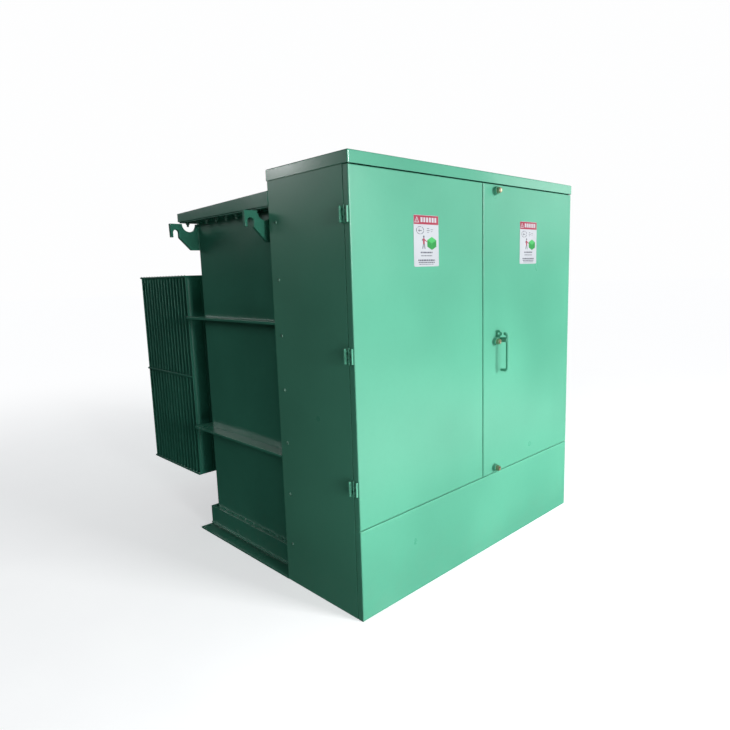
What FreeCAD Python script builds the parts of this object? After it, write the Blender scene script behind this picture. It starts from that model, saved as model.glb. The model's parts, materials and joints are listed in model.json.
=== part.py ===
import FreeCAD, Part
import math
import os

V = FreeCAD.Vector
os.makedirs("parts", exist_ok=True)

# Pad-mounted transformer: a lockable two-door terminal cabinet in front of an
# oil tank, with three banks of plate radiators behind it.  Millimetres, +Z up.
# The cabinet front faces -Y and +X is to the right of someone facing it.
# The shapes are built with the doors' front face at y = 0 and moved back by
# Y_ORIGIN when they are written, so the origin is the middle of the footprint.

# ---------------------------------------------------------------- dimensions
Y_ORIGIN = 980.0        # from the doors' face back to the middle of the footprint

WIDTH = 1677.0          # cabinet, side to side
HALF = WIDTH / 2
HEIGHT = 1854.0         # ground to hood top
CAB_DEPTH = 509.0       # doors' face to the cabinet's rear edge
SHEET = 3.0             # cabinet sheet steel
FLANGE = 25.0           # depth of the door and sill pans
HOOD_Z = 1806.0         # underside of the hood's lip
HOOD_OVER = 3.0         # hood stands out past the cabinet
SILL_TOP = 388.0
DOOR_Z0, DOOR_Z1 = 390.5, 1802.5
SPLIT = 3.0             # half the gap between the doors
JAMB_Y = 33.0           # front edge of the side panels
RETURN_Y = 29.0         # rear edge of the pans' outer side flanges
BEND = 5.0              # outside bend radius of the pans

PLATE_Y0, PLATE_Y1 = 497.0, 505.0     # tank front plate
INSET = 64.0            # tank wall behind the cabinet's side plane
TX = HALF - INSET       # tank wall, outside face
TANK_REAR = 1272.0
WALL = 8.0
TANK_R = 35.0           # bend radius of the tank's rear corners
TANK_Z0 = 34.0
RIM_Z0, RIM_Z1 = 1700.0, 1712.0       # bolting rim round the tank's top
GASKET = 4.0
COVER_LIP_Z = 1706.0
COVER_FRONT_Z, COVER_REAR_Z = 1767.0, 1748.0
COVER_X = HALF + 2.0
COVER_REAR = 1338.0

RIB_OUT = 62.0          # stiffener bars stand this far out of the wall
RIB_T = 12.0
RIB_Z = (588.0, 1196.0)
SKIRT_OUT = 20.0
SKIRT_Z1 = 134.0
FLG_T = 8.0             # ground flange
FLG_X = HALF + 2.0
FLG_Y = 1340.0
ANCHOR_X, ANCHOR_Y = 800.0, (105.0, 1318.0)
ANCHOR_R = 9.0

HOOK_T = 16.0
HOOK_Y = (565.0, 1255.0)

RAD_N, RAD_PITCH = 16, 38.1
RAD_Y0 = 1440.0         # middle of the first panel
RAD_Z0, RAD_Z1 = 275.0, 1428.0
RAD_W = 480.0
RAD_CX = (-534.5, 0.0, 534.5)
HEADER_R = 44.0
HEADER_Z = (339.0, 1364.0)

HINGE_Z = (564.0, 1095.0, 1626.0)
HINGE_H = 60.0
PIN_X = HALF + 5.0
PIN_Y = 25.0
PIN_R, KNUCKLE_R, KNUCKLE_BORE = 2.5, 4.5, 2.56

BOLT_X = 96.5           # the three captive bolts of the right door
BOLT_Z = (419.0, 1060.0, 1773.0)
HANDLE_X, HANDLE_Z = 128.5, 1066.0
HANDLE_Y = -52.0        # middle of the grip rod
ROD_R = 7.5
HANDLE_TOP, HANDLE_BOT = 1096.0, 916.0
CAM_R = 28.0            # pin circle of the latch cam
CAM_PIN = CAM_R * math.sin(math.radians(45.0))
LATCH_DX = 24.0
LATCH_Y = 33.5
LATCH_R = 6.0

SCREW_Z = [190.0 + 240.3 * i for i in range(7)]
SCREW_Y = 460.0

HV_X = (-650.0, -510.0, -370.0)
HV_Z = ((1170.0, 960.0), (1215.0, 1005.0), (1170.0, 960.0))
LV_X = (190.0, 340.0, 490.0, 640.0)
LV_Z = (1150.0, 1060.0, 1060.0, 1150.0)
SPADE_T, SPADE_H = 12.7, 102.0
NEMA = 44.45
FUSE_X = (-480.0, -350.0, -220.0)
FUSE_Z = 1500.0
SWITCH = (-715.0, 1395.0)
TAP = (-600.0, 1560.0)
VALVE = (690.0, 150.0)
RELIEF = (700.0, 1590.0)
GAUGES = ((270.0, 1590.0, 52.0), (410.0, 1590.0, 45.0), (540.0, 1590.0, 35.0))


# ------------------------------------------------------------------- helpers
def box(x0, x1, y0, y1, z0, z1):
    return Part.makeBox(x1 - x0, y1 - y0, z1 - z0, V(x0, y0, z0))


def ycyl(x, z, y0, y1, r):
    return Part.makeCylinder(r, y1 - y0, V(x, y0, z), V(0, 1, 0))


def zcyl(x, y, z0, z1, r):
    return Part.makeCylinder(r, z1 - z0, V(x, y, z0), V(0, 0, 1))


def xcyl(y, z, x0, x1, r):
    return Part.makeCylinder(r, x1 - x0, V(x0, y, z), V(1, 0, 0))


def ycone(x, z, y0, y1, r0, r1):
    return Part.makeCone(r0, r1, y1 - y0, V(x, y0, z), V(0, 1, 0))


def fuse(*shapes):
    out = shapes[0]
    for s in shapes[1:]:
        out = out.fuse(s)
    return out.removeSplitter()


def cut(base, *tools):
    for t in tools:
        base = base.cut(t)
    return base


def prism(points, vec):
    pts = [V(*p) for p in points]
    face = Part.Face(Part.makePolygon(pts + [pts[0]]))
    return face.extrude(V(*vec))


def mirror(shape):
    return shape.mirror(V(0, 0, 0), V(1, 0, 0))


def round_edges(shape, r, test):
    edges = [e for e in shape.Edges if test(e)]
    return shape.makeFillet(r, edges)


def on_plane(edge, axis, value):
    return all(abs(getattr(v.Point, axis) - value) < 1e-6 for v in edge.Vertexes)


def vertical(edge):
    a, b = edge.Vertexes[0].Point, edge.Vertexes[-1].Point
    return abs(a.x - b.x) < 1e-6 and abs(a.y - b.y) < 1e-6


def polygon_head(x, z, y0, y1, r, n):
    pts = []
    for i in range(n):
        a = 2 * math.pi * i / n + math.pi / 2
        pts.append((x + r * math.cos(a), y0, z + r * math.sin(a)))
    return prism(pts, (0, y1 - y0, 0))


def bent_rod(points, bend, r):
    """round rod along straight runs joined by tangent arcs"""
    pts = [V(*p) for p in points]
    edges = []
    start = pts[0]
    for i in range(1, len(pts) - 1):
        a = (pts[i - 1] - pts[i]).normalize()
        b = (pts[i + 1] - pts[i]).normalize()
        half = math.acos(max(-1, min(1, a.dot(b)))) / 2
        t = bend / math.tan(half)
        p0 = pts[i] + a * t
        p1 = pts[i] + b * t
        mid_dir = (a + b).normalize()
        centre = pts[i] + mid_dir * (bend / math.sin(half))
        mid = centre - mid_dir * bend
        edges.append(Part.LineSegment(start, p0).toShape())
        edges.append(Part.Arc(p0, mid, p1).toShape())
        start = p1
    edges.append(Part.LineSegment(start, pts[-1]).toShape())
    wire = Part.Wire(edges)
    ring = Part.Wire([Part.makeCircle(r, pts[0], (pts[1] - pts[0]))])
    return wire.makePipeShell([ring], True, True)


parts = {}


def add(name, *solids):
    parts[name] = list(solids)


# ---------------------------------------------------------------------- tank
outer = box(-TX, TX, PLATE_Y1 - 20, TANK_REAR, TANK_Z0, RIM_Z0)
outer = round_edges(outer, TANK_R, lambda e: vertical(e) and e.Vertexes[0].Point.y > TANK_REAR - 1)
inner = box(-TX + WALL, TX - WALL, PLATE_Y1 - 30, TANK_REAR - WALL, TANK_Z0 + WALL, RIM_Z0 + 10)
inner = round_edges(inner, TANK_R - WALL, lambda e: vertical(e) and e.Vertexes[0].Point.y > TANK_REAR - 10)
front_trim = box(-HALF, HALF, PLATE_Y1 - 40, PLATE_Y1, 0, 1800)
shell = outer.cut(inner).cut(front_trim)
for cx in RAD_CX:
    for hz in HEADER_Z:
        shell = shell.cut(ycyl(cx, hz, TANK_REAR - 30, TANK_REAR + 10, HEADER_R - 6))
add("tank_shell", shell)
tank_block = outer.cut(front_trim)

# front plate, which also closes the back of the cabinet
plate = box(-HALF + SHEET, HALF - SHEET, PLATE_Y0, PLATE_Y1, 12, HEIGHT - SHEET)
holes = []
for x, zz in zip(HV_X, HV_Z):
    for z in zz:
        holes.append(ycyl(x, z, PLATE_Y0 - 5, PLATE_Y1 + 5, 33))
for x, z in zip(LV_X, LV_Z):
    holes.append(ycyl(x, z, PLATE_Y0 - 5, PLATE_Y1 + 5, 41))
for x in FUSE_X:
    holes.append(ycyl(x, FUSE_Z, PLATE_Y0 - 5, PLATE_Y1 + 5, 24))
for x, z, r in (SWITCH + (13.0,), TAP + (11.0,), VALVE + (22.0,), RELIEF + (16.0,)):
    holes.append(ycyl(x, z, PLATE_Y0 - 5, PLATE_Y1 + 5, r))
for x, z, r in GAUGES:
    holes.append(ycyl(x, z, PLATE_Y0 - 5, PLATE_Y1 + 5, 17))
plate = cut(plate, *holes)
add("tank_front_plate", plate)

# bolting rim and the two stiffener bars, left, rear and right runs
bars = []
for z0, z1, out in ((RIM_Z0, RIM_Z1, INSET - 4.0), (RIB_Z[0], RIB_Z[0] + RIB_T, RIB_OUT),
                    (RIB_Z[1], RIB_Z[1] + RIB_T, RIB_OUT)):
    rim = z0 == RIM_Z0
    inset = WALL if rim else 0.0
    x_in, x_out = TX - inset, TX + out
    y_in, y_out = TANK_REAR - inset, TANK_REAR + out
    side = box(-x_out, -x_in, PLATE_Y1, y_out, z0, z1)
    back = box(-x_in, x_in, y_in, y_out, z0, z1)
    if not rim:
        side = box(-x_out, -x_in + 45, PLATE_Y1 + 4, y_out, z0, z1).cut(tank_block)
        back = box(-TX + 45, TX - 45, TANK_REAR, y_out, z0, z1)
    bars += [side, back, mirror(side)]
bars.append(box(-TX + WALL, TX - WALL, PLATE_Y1, PLATE_Y1 + 50, RIM_Z0, RIM_Z1))
add("tank_stiffener_bars", *bars)

# gasket and cover; the cover's top falls towards the back
g0, g1 = RIM_Z1, RIM_Z1 + GASKET
gasket = box(-TX - 50, TX + 50, PLATE_Y1 + 4, TANK_REAR + 50, g0, g1)
gasket = gasket.cut(box(-TX + 2, TX - 2, PLATE_Y1 + 44, TANK_REAR - 2, g0 - 1, g1 + 1))
add("cover_gasket", gasket)

cy0 = PLATE_Y1 + 4.0
cover = prism([(-COVER_X, cy0, COVER_LIP_Z), (-COVER_X, COVER_REAR, COVER_LIP_Z),
               (-COVER_X, COVER_REAR, COVER_REAR_Z), (-COVER_X, cy0, COVER_FRONT_Z)],
              (2 * COVER_X, 0, 0))
cover = cover.cut(box(-COVER_X + 5, COVER_X - 5, cy0 - 1, COVER_REAR - 5, COVER_LIP_Z - 5, g1))
slope = (COVER_FRONT_Z - COVER_REAR_Z) / (COVER_REAR - cy0)
ia, ib = cy0 + 45, TANK_REAR - 5
cover = cover.cut(prism([(-TX + 5, ia, g1 - 1), (-TX + 5, ib, g1 - 1),
                         (-TX + 5, ib, COVER_FRONT_Z - slope * (ib - cy0) - 6),
                         (-TX + 5, ia, COVER_FRONT_Z - slope * (ia - cy0) - 6)],
                        (2 * TX - 10, 0, 0)))
add("tank_cover", cover)

# cover bolts hang from the rim, just inside the cover's lip
bolts = []


def cover_bolt(x, y):
    return fuse(polygon_head_z(x, y, RIM_Z0 - 10, RIM_Z0, 10.5),
                zcyl(x, y, RIM_Z0 - 22, RIM_Z0 - 10, 6.0))


def polygon_head_z(x, y, z0, z1, r):
    pts = [(x + r * math.cos(math.pi * i / 3), y + r * math.sin(math.pi * i / 3), z0) for i in range(6)]
    return prism(pts, (0, 0, z1 - z0))


bx = TX + 36.0
for y in [540.0 + i * 91.0 for i in range(8)] + [1288.0]:
    bolts += [cover_bolt(-bx, y), cover_bolt(bx, y)]
n_rear = 17
for i in range(n_rear):
    bolts.append(cover_bolt(-720.0 + i * 90.0, TANK_REAR + 36.0))
add("tank_cover_bolts", *bolts)

# lifting hooks: plates across the tank's corners, notch above and slot below
def hook(y):
    def p(out, z):
        return (-(TX + out), y - HOOK_T / 2, z)
    pts = [p(-14, 1689), p(155, 1689), p(153, 1621), p(141, 1621), p(141, 1644),
           p(109, 1644), p(109, 1619), p(46, 1556), p(-14, 1556)]
    body = prism(pts, (0, HOOK_T, 0))
    body = body.cut(ycyl(-(TX + 125), 1644, y - 20, y + 20, 16))
    body = body.cut(ycyl(-(TX + 50), 1689, y - 20, y + 20, 40))
    body = body.cut(tank_block)
    return body


hooks = [hook(y) for y in HOOK_Y]
add("lifting_hooks", *(hooks + [mirror(h) for h in hooks]))

# base: skirt channel, rails and ground flange
sx = TX + SKIRT_OUT
ry = TANK_REAR + SKIRT_OUT
side_skirt = fuse(box(-sx, -sx + 6, cy0, ry, TANK_Z0, SKIRT_Z1),
                  box(-sx, -TX, cy0, ry, SKIRT_Z1 - 6, SKIRT_Z1),
                  box(-sx - 5, -TX, cy0, ry, TANK_Z0, TANK_Z0 + 8))
rear_skirt = fuse(box(-TX, TX, ry - 6, ry, TANK_Z0, SKIRT_Z1),
                  box(-TX, TX, TANK_REAR, ry, SKIRT_Z1 - 6, SKIRT_Z1),
                  box(-TX, TX, TANK_REAR, ry + 5, TANK_Z0, TANK_Z0 + 8))
add("base_skirt", side_skirt, rear_skirt, mirror(side_skirt))

rail = box(-TX + 4, -TX + 54, cy0, TANK_REAR - 4, FLG_T, TANK_Z0)
add("base_frame", rail, mirror(rail),
    box(-25, 25, cy0, TANK_REAR - 54, FLG_T, TANK_Z0),
    box(-TX + 54, TX - 54, TANK_REAR - 54, TANK_REAR - 4, FLG_T, TANK_Z0))

side_flg = box(-FLG_X, -TX + 50, cy0, FLG_Y, 0, FLG_T)
side_flg = side_flg.cut(zcyl(-ANCHOR_X, ANCHOR_Y[1], -5, 20, ANCHOR_R))
cleat = fuse(box(-HALF + SHEET, -HALF + 73, 60, 150, 0, FLG_T),
             box(-HALF + SHEET, -HALF + SHEET + 6, 60, 150, 0, 60))
cleat = cleat.cut(zcyl(-ANCHOR_X, ANCHOR_Y[0], -5, 20, ANCHOR_R))
add("ground_flange", side_flg, mirror(side_flg),
    box(-TX + 50, TX - 50, TANK_REAR - 60, FLG_Y, 0, FLG_T), cleat, mirror(cleat))

# ------------------------------------------------------------ core and coils
cyc = 885.0
core = box(-575, 575, cyc - 150, cyc + 150, 110, 1160)
core = core.cut(box(-345, -115, cyc - 200, cyc + 200, 340, 930))
core = core.cut(box(115, 345, cyc - 200, cyc + 200, 340, 930))
add("core", core)
coils = []
for x in (-460.0, 0.0, 460.0):
    c = box(x - 221, x + 221, cyc - 255, cyc + 255, 352, 918)
    c = round_edges(c, 60, vertical)
    hole = box(x - 118, x + 118, cyc - 153, cyc + 153, 300, 1000)
    coils.append(c.cut(hole))
add("windings", *coils)
clamps = []
for y0, y1 in ((cyc - 178, cyc - 150), (cyc + 150, cyc + 178)):
    clamps.append(box(-600, 600, y0, y1, 42, 320))
    clamps.append(box(-600, 600, y0, y1, 950, 1140))
add("core_clamps", *clamps)

# ----------------------------------------------------------------- radiators
def panel(cx, y):
    """fluted pressed-steel panel, seen from above, extruded up"""
    n, edge = 6, 14.0
    pitch = (RAD_W - 2 * edge) / n
    top = [(-RAD_W / 2, 2.0), (-RAD_W / 2 + edge, 2.0)]
    x = -RAD_W / 2 + edge
    for i in range(n):
        top += [(x + 9, 6.0), (x + pitch - 9, 6.0), (x + pitch, 2.0)]
        x += pitch
    top += [(RAD_W / 2, 2.0)]
    loop = top + [(px, -py) for px, py in reversed(top)]
    s = prism([(cx + px, y + py, RAD_Z0) for px, py in loop], (0, 0, RAD_Z1 - RAD_Z0))
    for hz in HEADER_Z:
        s = s.cut(ycyl(cx, hz, y - 20, y + 20, HEADER_R + 0.3))
    return s


rad_y1 = RAD_Y0 + RAD_PITCH * (RAD_N - 1)
for name, cx in zip(("left", "center", "right"), RAD_CX):
    solids = []
    first = panel(cx, RAD_Y0)
    for i in range(RAD_N):
        s = first.copy()
        s.translate(V(0, RAD_PITCH * i, 0))
        solids.append(s)
    for side in (-1, 1):
        xa = cx + side * RAD_W / 2
        x0, x1 = (xa - 6, xa) if side < 0 else (xa, xa + 6)
        for zt in (RAD_Z0, 852.0, RAD_Z1 - 10):
            solids.append(box(x0, x1, RAD_Y0 - 6, rad_y1 + 8, zt, zt + 10))
    add(name + "_radiator_panels", *solids)

headers = []
for cx in RAD_CX:
    for hz in HEADER_Z:
        h = fuse(ycyl(cx, hz, TANK_REAR, rad_y1 + 6, HEADER_R), ycyl(cx, hz, TANK_REAR, TANK_REAR + 14, 62),
                 ycyl(cx, hz, TANK_REAR + 60, TANK_REAR + 88, 70))
        headers.append(h.cut(ycyl(cx, hz, TANK_REAR - 5, rad_y1, HEADER_R - 4)))
add("radiator_headers", *headers)

# ------------------------------------------------------------------- cabinet
def pan(x0, x1, z0, z1):
    """sheet-steel pan, front face at y = 0, open to the back"""
    p = box(x0, x1, 0, FLANGE, z0, z1)
    p = round_edges(p, BEND, lambda e: on_plane(e, "y", 0.0))
    q = box(x0 + SHEET, x1 - SHEET, SHEET, FLANGE + 5, z0 + SHEET, z1 - SHEET)
    q = round_edges(q, BEND - SHEET, lambda e: on_plane(e, "y", SHEET))
    return p.cut(q)


def side_return(z0, z1):
    """the pans' side flange is a little deeper beside the hinges"""
    return box(-HALF, -HALF + SHEET, FLANGE - 1, RETURN_Y, z0, z1)


left_door = fuse(pan(-HALF, -SPLIT, DOOR_Z0, DOOR_Z1), side_return(DOOR_Z0, DOOR_Z1))
add("left_door", left_door)
right_door = fuse(pan(SPLIT, HALF, DOOR_Z0, DOOR_Z1), mirror(side_return(DOOR_Z0, DOOR_Z1)))
for z in BOLT_Z:
    right_door = right_door.cut(ycyl(BOLT_X, z, -5, 10, 6.8))
right_door = right_door.cut(ycyl(HANDLE_X, HANDLE_Z, -5, 10, 10.6))
add("right_door", right_door)
add("front_sill", fuse(pan(-HALF, HALF, 0, SILL_TOP), side_return(0, SILL_TOP), mirror(side_return(0, SILL_TOP))))

hood = box(-HALF - HOOD_OVER, HALF + HOOD_OVER, -HOOD_OVER, CAB_DEPTH + HOOD_OVER, HOOD_Z, HEIGHT)
hood = round_edges(hood, 6, lambda e: on_plane(e, "z", HEIGHT) or (vertical(e) and e.Vertexes[0].Point.y < 0))
hood_in = box(-HALF, HALF, 0, CAB_DEPTH, HOOD_Z - 5, HEIGHT - SHEET)
add("hood", hood.cut(hood_in))

side = fuse(box(-HALF, -HALF + SHEET, JAMB_Y, CAB_DEPTH, 0, HEIGHT - SHEET),
            box(-HALF, -HALF + 26, JAMB_Y, JAMB_Y + SHEET, 0, HEIGHT - SHEET))
for z in SCREW_Z:
    side = side.cut(xcyl(SCREW_Y, z, -HALF - 5, -HALF + 10, 4.4))
add("left_side_panel", side)
add("right_side_panel", mirror(side))

angle = fuse(box(-HALF + SHEET, -HALF + SHEET + 4, 440, PLATE_Y0, 12, 1795),
             box(-HALF + SHEET, -HALF + 40, PLATE_Y0 - 4, PLATE_Y0, 12, 1795))
for z in SCREW_Z:
    angle = angle.cut(xcyl(SCREW_Y, z, -HALF - 5, -HALF + 20, 4.4))
add("cabinet_mounting_angles", angle, mirror(angle))

screws = []
for z in SCREW_Z:
    head = xcyl(SCREW_Y, z, -HALF - 4.0, -HALF, 6.5)
    head = round_edges(head, 2.6, lambda e: on_plane(e, "x", -HALF - 4.0))
    s = fuse(head, xcyl(SCREW_Y, z, -HALF - 1, -HALF + 16, 4.0))
    screws += [s, mirror(s)]
add("side_panel_screws", *screws)

add("compartment_barrier", fuse(box(-14, -11, 44, PLATE_Y0, SILL_TOP + 4, 1798),
                                box(-14, 12, PLATE_Y0 - 3, PLATE_Y0, SILL_TOP + 4, 1798)))

# -------------------------------------------------------------------- hinges
KN = 5
slot = HINGE_H / KN


def knuckle(z0, i):
    return zcyl(-PIN_X, PIN_Y, z0 + i * slot + 0.2, z0 + (i + 1) * slot - 0.2, KNUCKLE_R)


def hinge_leaf(zc, frame):
    z0 = zc - HINGE_H / 2
    if frame:
        body = box(-HALF - 18, -HALF, 36, 46, z0, z0 + HINGE_H)
        body = round_edges(body, 2, lambda e: vertical(e) and e.Vertexes[0].Point.x < -HALF - 17)
        which = (0, 2, 4)
    else:
        body = box(-HALF - 8.5, -HALF, 6, 13, z0, z0 + HINGE_H)
        body = round_edges(body, 1.5, lambda e: vertical(e) and e.Vertexes[0].Point.x < -HALF - 8)
        which = (1, 3)
    for i in which:
        za, zb = z0 + i * slot + 0.2, z0 + (i + 1) * slot - 0.2
        ya, yb = (PIN_Y, 37) if frame else (12, PIN_Y)
        body = fuse(body, knuckle(z0, i), box(-PIN_X - 2.2, -PIN_X + 2.2, ya, yb, za, zb))
    return body.cut(zcyl(-PIN_X, PIN_Y, z0 - 5, z0 + HINGE_H + 5, KNUCKLE_BORE))


def hinge_pin(zc):
    z0, z1 = zc - HINGE_H / 2 - 1.5, zc + HINGE_H / 2
    return fuse(zcyl(-PIN_X, PIN_Y, z0, z1 + 1.5, PIN_R), zcyl(-PIN_X, PIN_Y, z1 + 0.3, z1 + 2.8, 4.0))


frame_leaves = [hinge_leaf(z, True) for z in HINGE_Z]
door_leaves = [hinge_leaf(z, False) for z in HINGE_Z]
pins = [hinge_pin(z) for z in HINGE_Z]
add("hinge_frame_leaves", *(frame_leaves + [mirror(s) for s in frame_leaves]))
add("hinge_pins", *(pins + [mirror(s) for s in pins]))
add("left_door_hinge_leaves", *door_leaves)
add("right_door_hinge_leaves", *[mirror(s) for s in door_leaves])


# ------------------------------------------------------------ door furniture
def hat(xc, z0, z1):
    """pressed hat-section stiffener on the inside of a door"""
    s = box(xc - 30, xc + 30, SHEET, 22, z0, z1)
    s = s.cut(box(xc - 18, xc + 18, SHEET - 1, 20, z0 - 5, z1 + 5))
    s = s.cut(box(xc - 31, xc - 20, SHEET + 2, 30, z0 - 5, z1 + 5))
    return s.cut(box(xc + 20, xc + 31, SHEET + 2, 30, z0 - 5, z1 + 5))


add("left_door_stiffeners", hat(-620, 430, 1765), hat(-225, 430, 1765))
add("right_door_stiffeners", hat(620, 430, 1765), hat(260, 430, 1765))


def label(xc, zc):
    s = box(xc - 80, xc + 80, -1.0, 0, zc - 105, zc + 105)
    return round_edges(s, 6, lambda e: abs(e.Length - 1.0) < 1e-6)


add("left_label_plate", label(-407.5, 1533))
add("right_label_plate", label(396, 1536))

guards = []
for z in BOLT_Z:
    g = ycyl(BOLT_X, z, -18, 0, 19)
    g = g.cut(ycyl(BOLT_X, z, -25, 5, 15.6))
    guards.append(g)
add("bolt_guards", *guards)

for name, z in zip(("bottom", "middle", "top"), BOLT_Z):
    b = fuse(polygon_head(BOLT_X, z, -32, -15, 14.4, 5), ycyl(BOLT_X, z, -15, -12.5, 14.2),
             ycyl(BOLT_X, z, -12.5, 21, 6.0))
    add(name + "_security_bolt", b)

staple = prism([(108, 0, 1081), (108, -21, 1081), (108, -27, 1089), (108, -33.5, 1090.5), (108, -33.5, 1103.5),
                (108, -27, 1105), (108, -21, 1113), (108, 0, 1113)], (6, 0, 0))
staple = round_edges(staple, 3, lambda e: abs(e.Length - 6.0) < 1e-6 and e.Vertexes[0].Point.y < -1)
add("padlock_staple", staple.cut(xcyl(-14.5, 1097, 100, 120, 6.0)))

rod = bent_rod([(HANDLE_X, -34.5, HANDLE_TOP), (HANDLE_X, HANDLE_Y, HANDLE_TOP),
                (HANDLE_X, HANDLE_Y, HANDLE_BOT), (HANDLE_X, -17.0, HANDLE_BOT)], 15.0, ROD_R)
shaft = fuse(ycyl(HANDLE_X, HANDLE_Z, HANDLE_Y, -1.0, 12.0), ycyl(HANDLE_X, HANDLE_Z, -1.0, 20.0, 10.0),
             box(HANDLE_X - 7, HANDLE_X + 7, 20.0, 30.0, HANDLE_Z - 7, HANDLE_Z + 7))
handle = fuse(rod, shaft)
add("door_handle", handle)

cam = ycyl(HANDLE_X, HANDLE_Z, 24, 29, 38)
cam = cam.cut(box(HANDLE_X - 7, HANDLE_X + 7, 20.0, 35.0, HANDLE_Z - 7, HANDLE_Z + 7))
for s in (-1, 1):
    cam = fuse(cam, ycyl(HANDLE_X + s * CAM_PIN, HANDLE_Z - s * CAM_PIN, 28, 38, 4.0))
add("latch_cam", cam)


def latch(sign, end):
    """flat yoke with a cross slot for the cam pin, and a round rod"""
    xc = HANDLE_X - sign * LATCH_DX
    zp = HANDLE_Z + sign * CAM_PIN
    za, zb = sorted((zp - sign * 13, HANDLE_Z + sign * 90))
    yoke = box(xc - 17, xc + 17, 31, 36, za, zb)
    sx0, sx1 = sorted((HANDLE_X - sign * 33.0, HANDLE_X - sign * 14.8))
    yoke = yoke.cut(box(sx0, sx1, 20, 50, zp - 5.6, zp + 5.6))
    z0, z1 = sorted((HANDLE_Z + sign * 84, end))
    return fuse(yoke, zcyl(xc, LATCH_Y, z0, z1, LATCH_R))


add("upper_latch_rod", latch(1, DOOR_Z1 - 6.5))
add("lower_latch_rod", latch(-1, DOOR_Z0 + 6.5))

guides = []
for sign, zs in ((1, (1380.0, 1716.0)), (-1, (460.0, 760.0))):
    xc = HANDLE_X - sign * LATCH_DX
    for z in zs:
        g = box(xc - 15, xc + 15, SHEET, 45, z, z + 22)
        g = g.cut(zcyl(xc, LATCH_Y, z - 5, z + 30, LATCH_R + 0.6))
        guides.append(g)
add("latch_rod_guides", *guides)

# ------------------------------------------- terminals and fittings on the plate
hv = []
for x, zz in zip(HV_X, HV_Z):
    for z in zz:
        hv.append(fuse(ycyl(x, z, 485, PLATE_Y0, 58), ycone(x, z, 452, 485, 38, 44), ycyl(x, z, 430, 452, 33),
                       ycone(x, z, 362, 430, 19, 26), ycyl(x, z, PLATE_Y0, 575, 31)))
add("hv_bushings", *hv)

stands = []
for x, z in ((-580.0, 1085.0), (-440.0, 1085.0), (-300.0, 1085.0)):
    s = fuse(box(x - 24, x + 24, 489, PLATE_Y0, z - 34, z + 34), box(x - 24, x - 17, 440, PLATE_Y0, z - 20, z + 20),
             box(x + 17, x + 24, 440, PLATE_Y0, z - 20, z + 20))
    stands.append(s)
add("parking_stands", *stands)

lv, spades = [], []
for x, z in zip(LV_X, LV_Z):
    lv.append(fuse(ycyl(x, z, 485, PLATE_Y0, 68), ycone(x, z, 425, 485, 40, 50), ycyl(x, z, PLATE_Y0, 575, 39)))
    blade = box(x - SPADE_T / 2, x + SPADE_T / 2, 235, 400, z - SPADE_H / 2, z + SPADE_H / 2)
    blade = fuse(blade, ycyl(x, z, 390, 425, 24))
    for hy in (262.0, 262.0 + NEMA):
        for hz in (z - NEMA / 2, z + NEMA / 2):
            blade = blade.cut(xcyl(hy, hz, x - 20, x + 20, 7.14))
    spades.append(blade)
add("lv_bushings", *lv)
add("lv_spades", *spades)

pads = []
for x in (-700.0, 560.0):
    p = box(x - 25, x + 25, 483, PLATE_Y0, 215, 305)
    for hz in (260.0 - NEMA / 2, 260.0 + NEMA / 2):
        p = p.cut(ycyl(x, hz, 478, 494, 5.4))
    pads.append(p)
add("ground_pads", *pads)

name_plate = box(350, 530, PLATE_Y0 - 1.5, PLATE_Y0, 1310, 1440)
add("nameplate", name_plate)

dials = []
for x, z, r in GAUGES:
    d = fuse(ycyl(x, z, 455, 485, r), ycyl(x, z, 485, PLATE_Y0, r * 0.6), ycyl(x, z, PLATE_Y0, 530, 15))
    dials.append(d.cut(ycyl(x, z, 450, 458, r - 5)))
add("dial_gauges", *dials)

sleeves = []
for x in FUSE_X:
    s = fuse(ycyl(x, FUSE_Z, 412, PLATE_Y0, 26), ycyl(x, FUSE_Z, 487, PLATE_Y0, 40),
             ycyl(x, FUSE_Z, PLATE_Y0, 760, 23))
    sleeves.append(s.cut(ycyl(x, FUSE_Z, 400, 755, 19.6)))
add("fuse_sleeves", *sleeves)
for name, x in zip(("left", "center", "right"), FUSE_X):
    eye = ycyl(x, FUSE_Z, 372, 380, 6)
    ring = Part.makeTorus(13, 4, V(x, 362, FUSE_Z), V(1, 0, 0))
    f = fuse(ycyl(x, FUSE_Z, 394, 411, 24), ycyl(x, FUSE_Z, 378, 394, 15), ycyl(x, FUSE_Z, 411, 745, 19.0), eye, ring)
    add(name + "_fuse_holder", f)

sxx, szz = SWITCH
sw = fuse(ycyl(sxx, szz, 462, PLATE_Y0 - 0.5, 24), ycyl(sxx, szz, PLATE_Y0 - 0.5, 590, 12),
          box(sxx - 9, sxx + 9, 452, 464, szz - 24, szz + 82), ycyl(sxx, szz + 82, 452, 464, 17))
add("switch_handle", sw.cut(ycyl(sxx, szz + 82, 440, 470, 9)))
txx, tzz = TAP
tp = fuse(ycyl(txx, tzz, 470, PLATE_Y0 - 0.5, 20), ycyl(txx, tzz, PLATE_Y0 - 0.5, 580, 10),
          box(txx - 34, txx + 34, 458, 470, tzz - 8, tzz + 8), ycyl(txx + 34, tzz, 458, 470, 12))
add("tap_changer_handle", tp.cut(ycyl(txx + 34, tzz, 440, 480, 6)))

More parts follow.
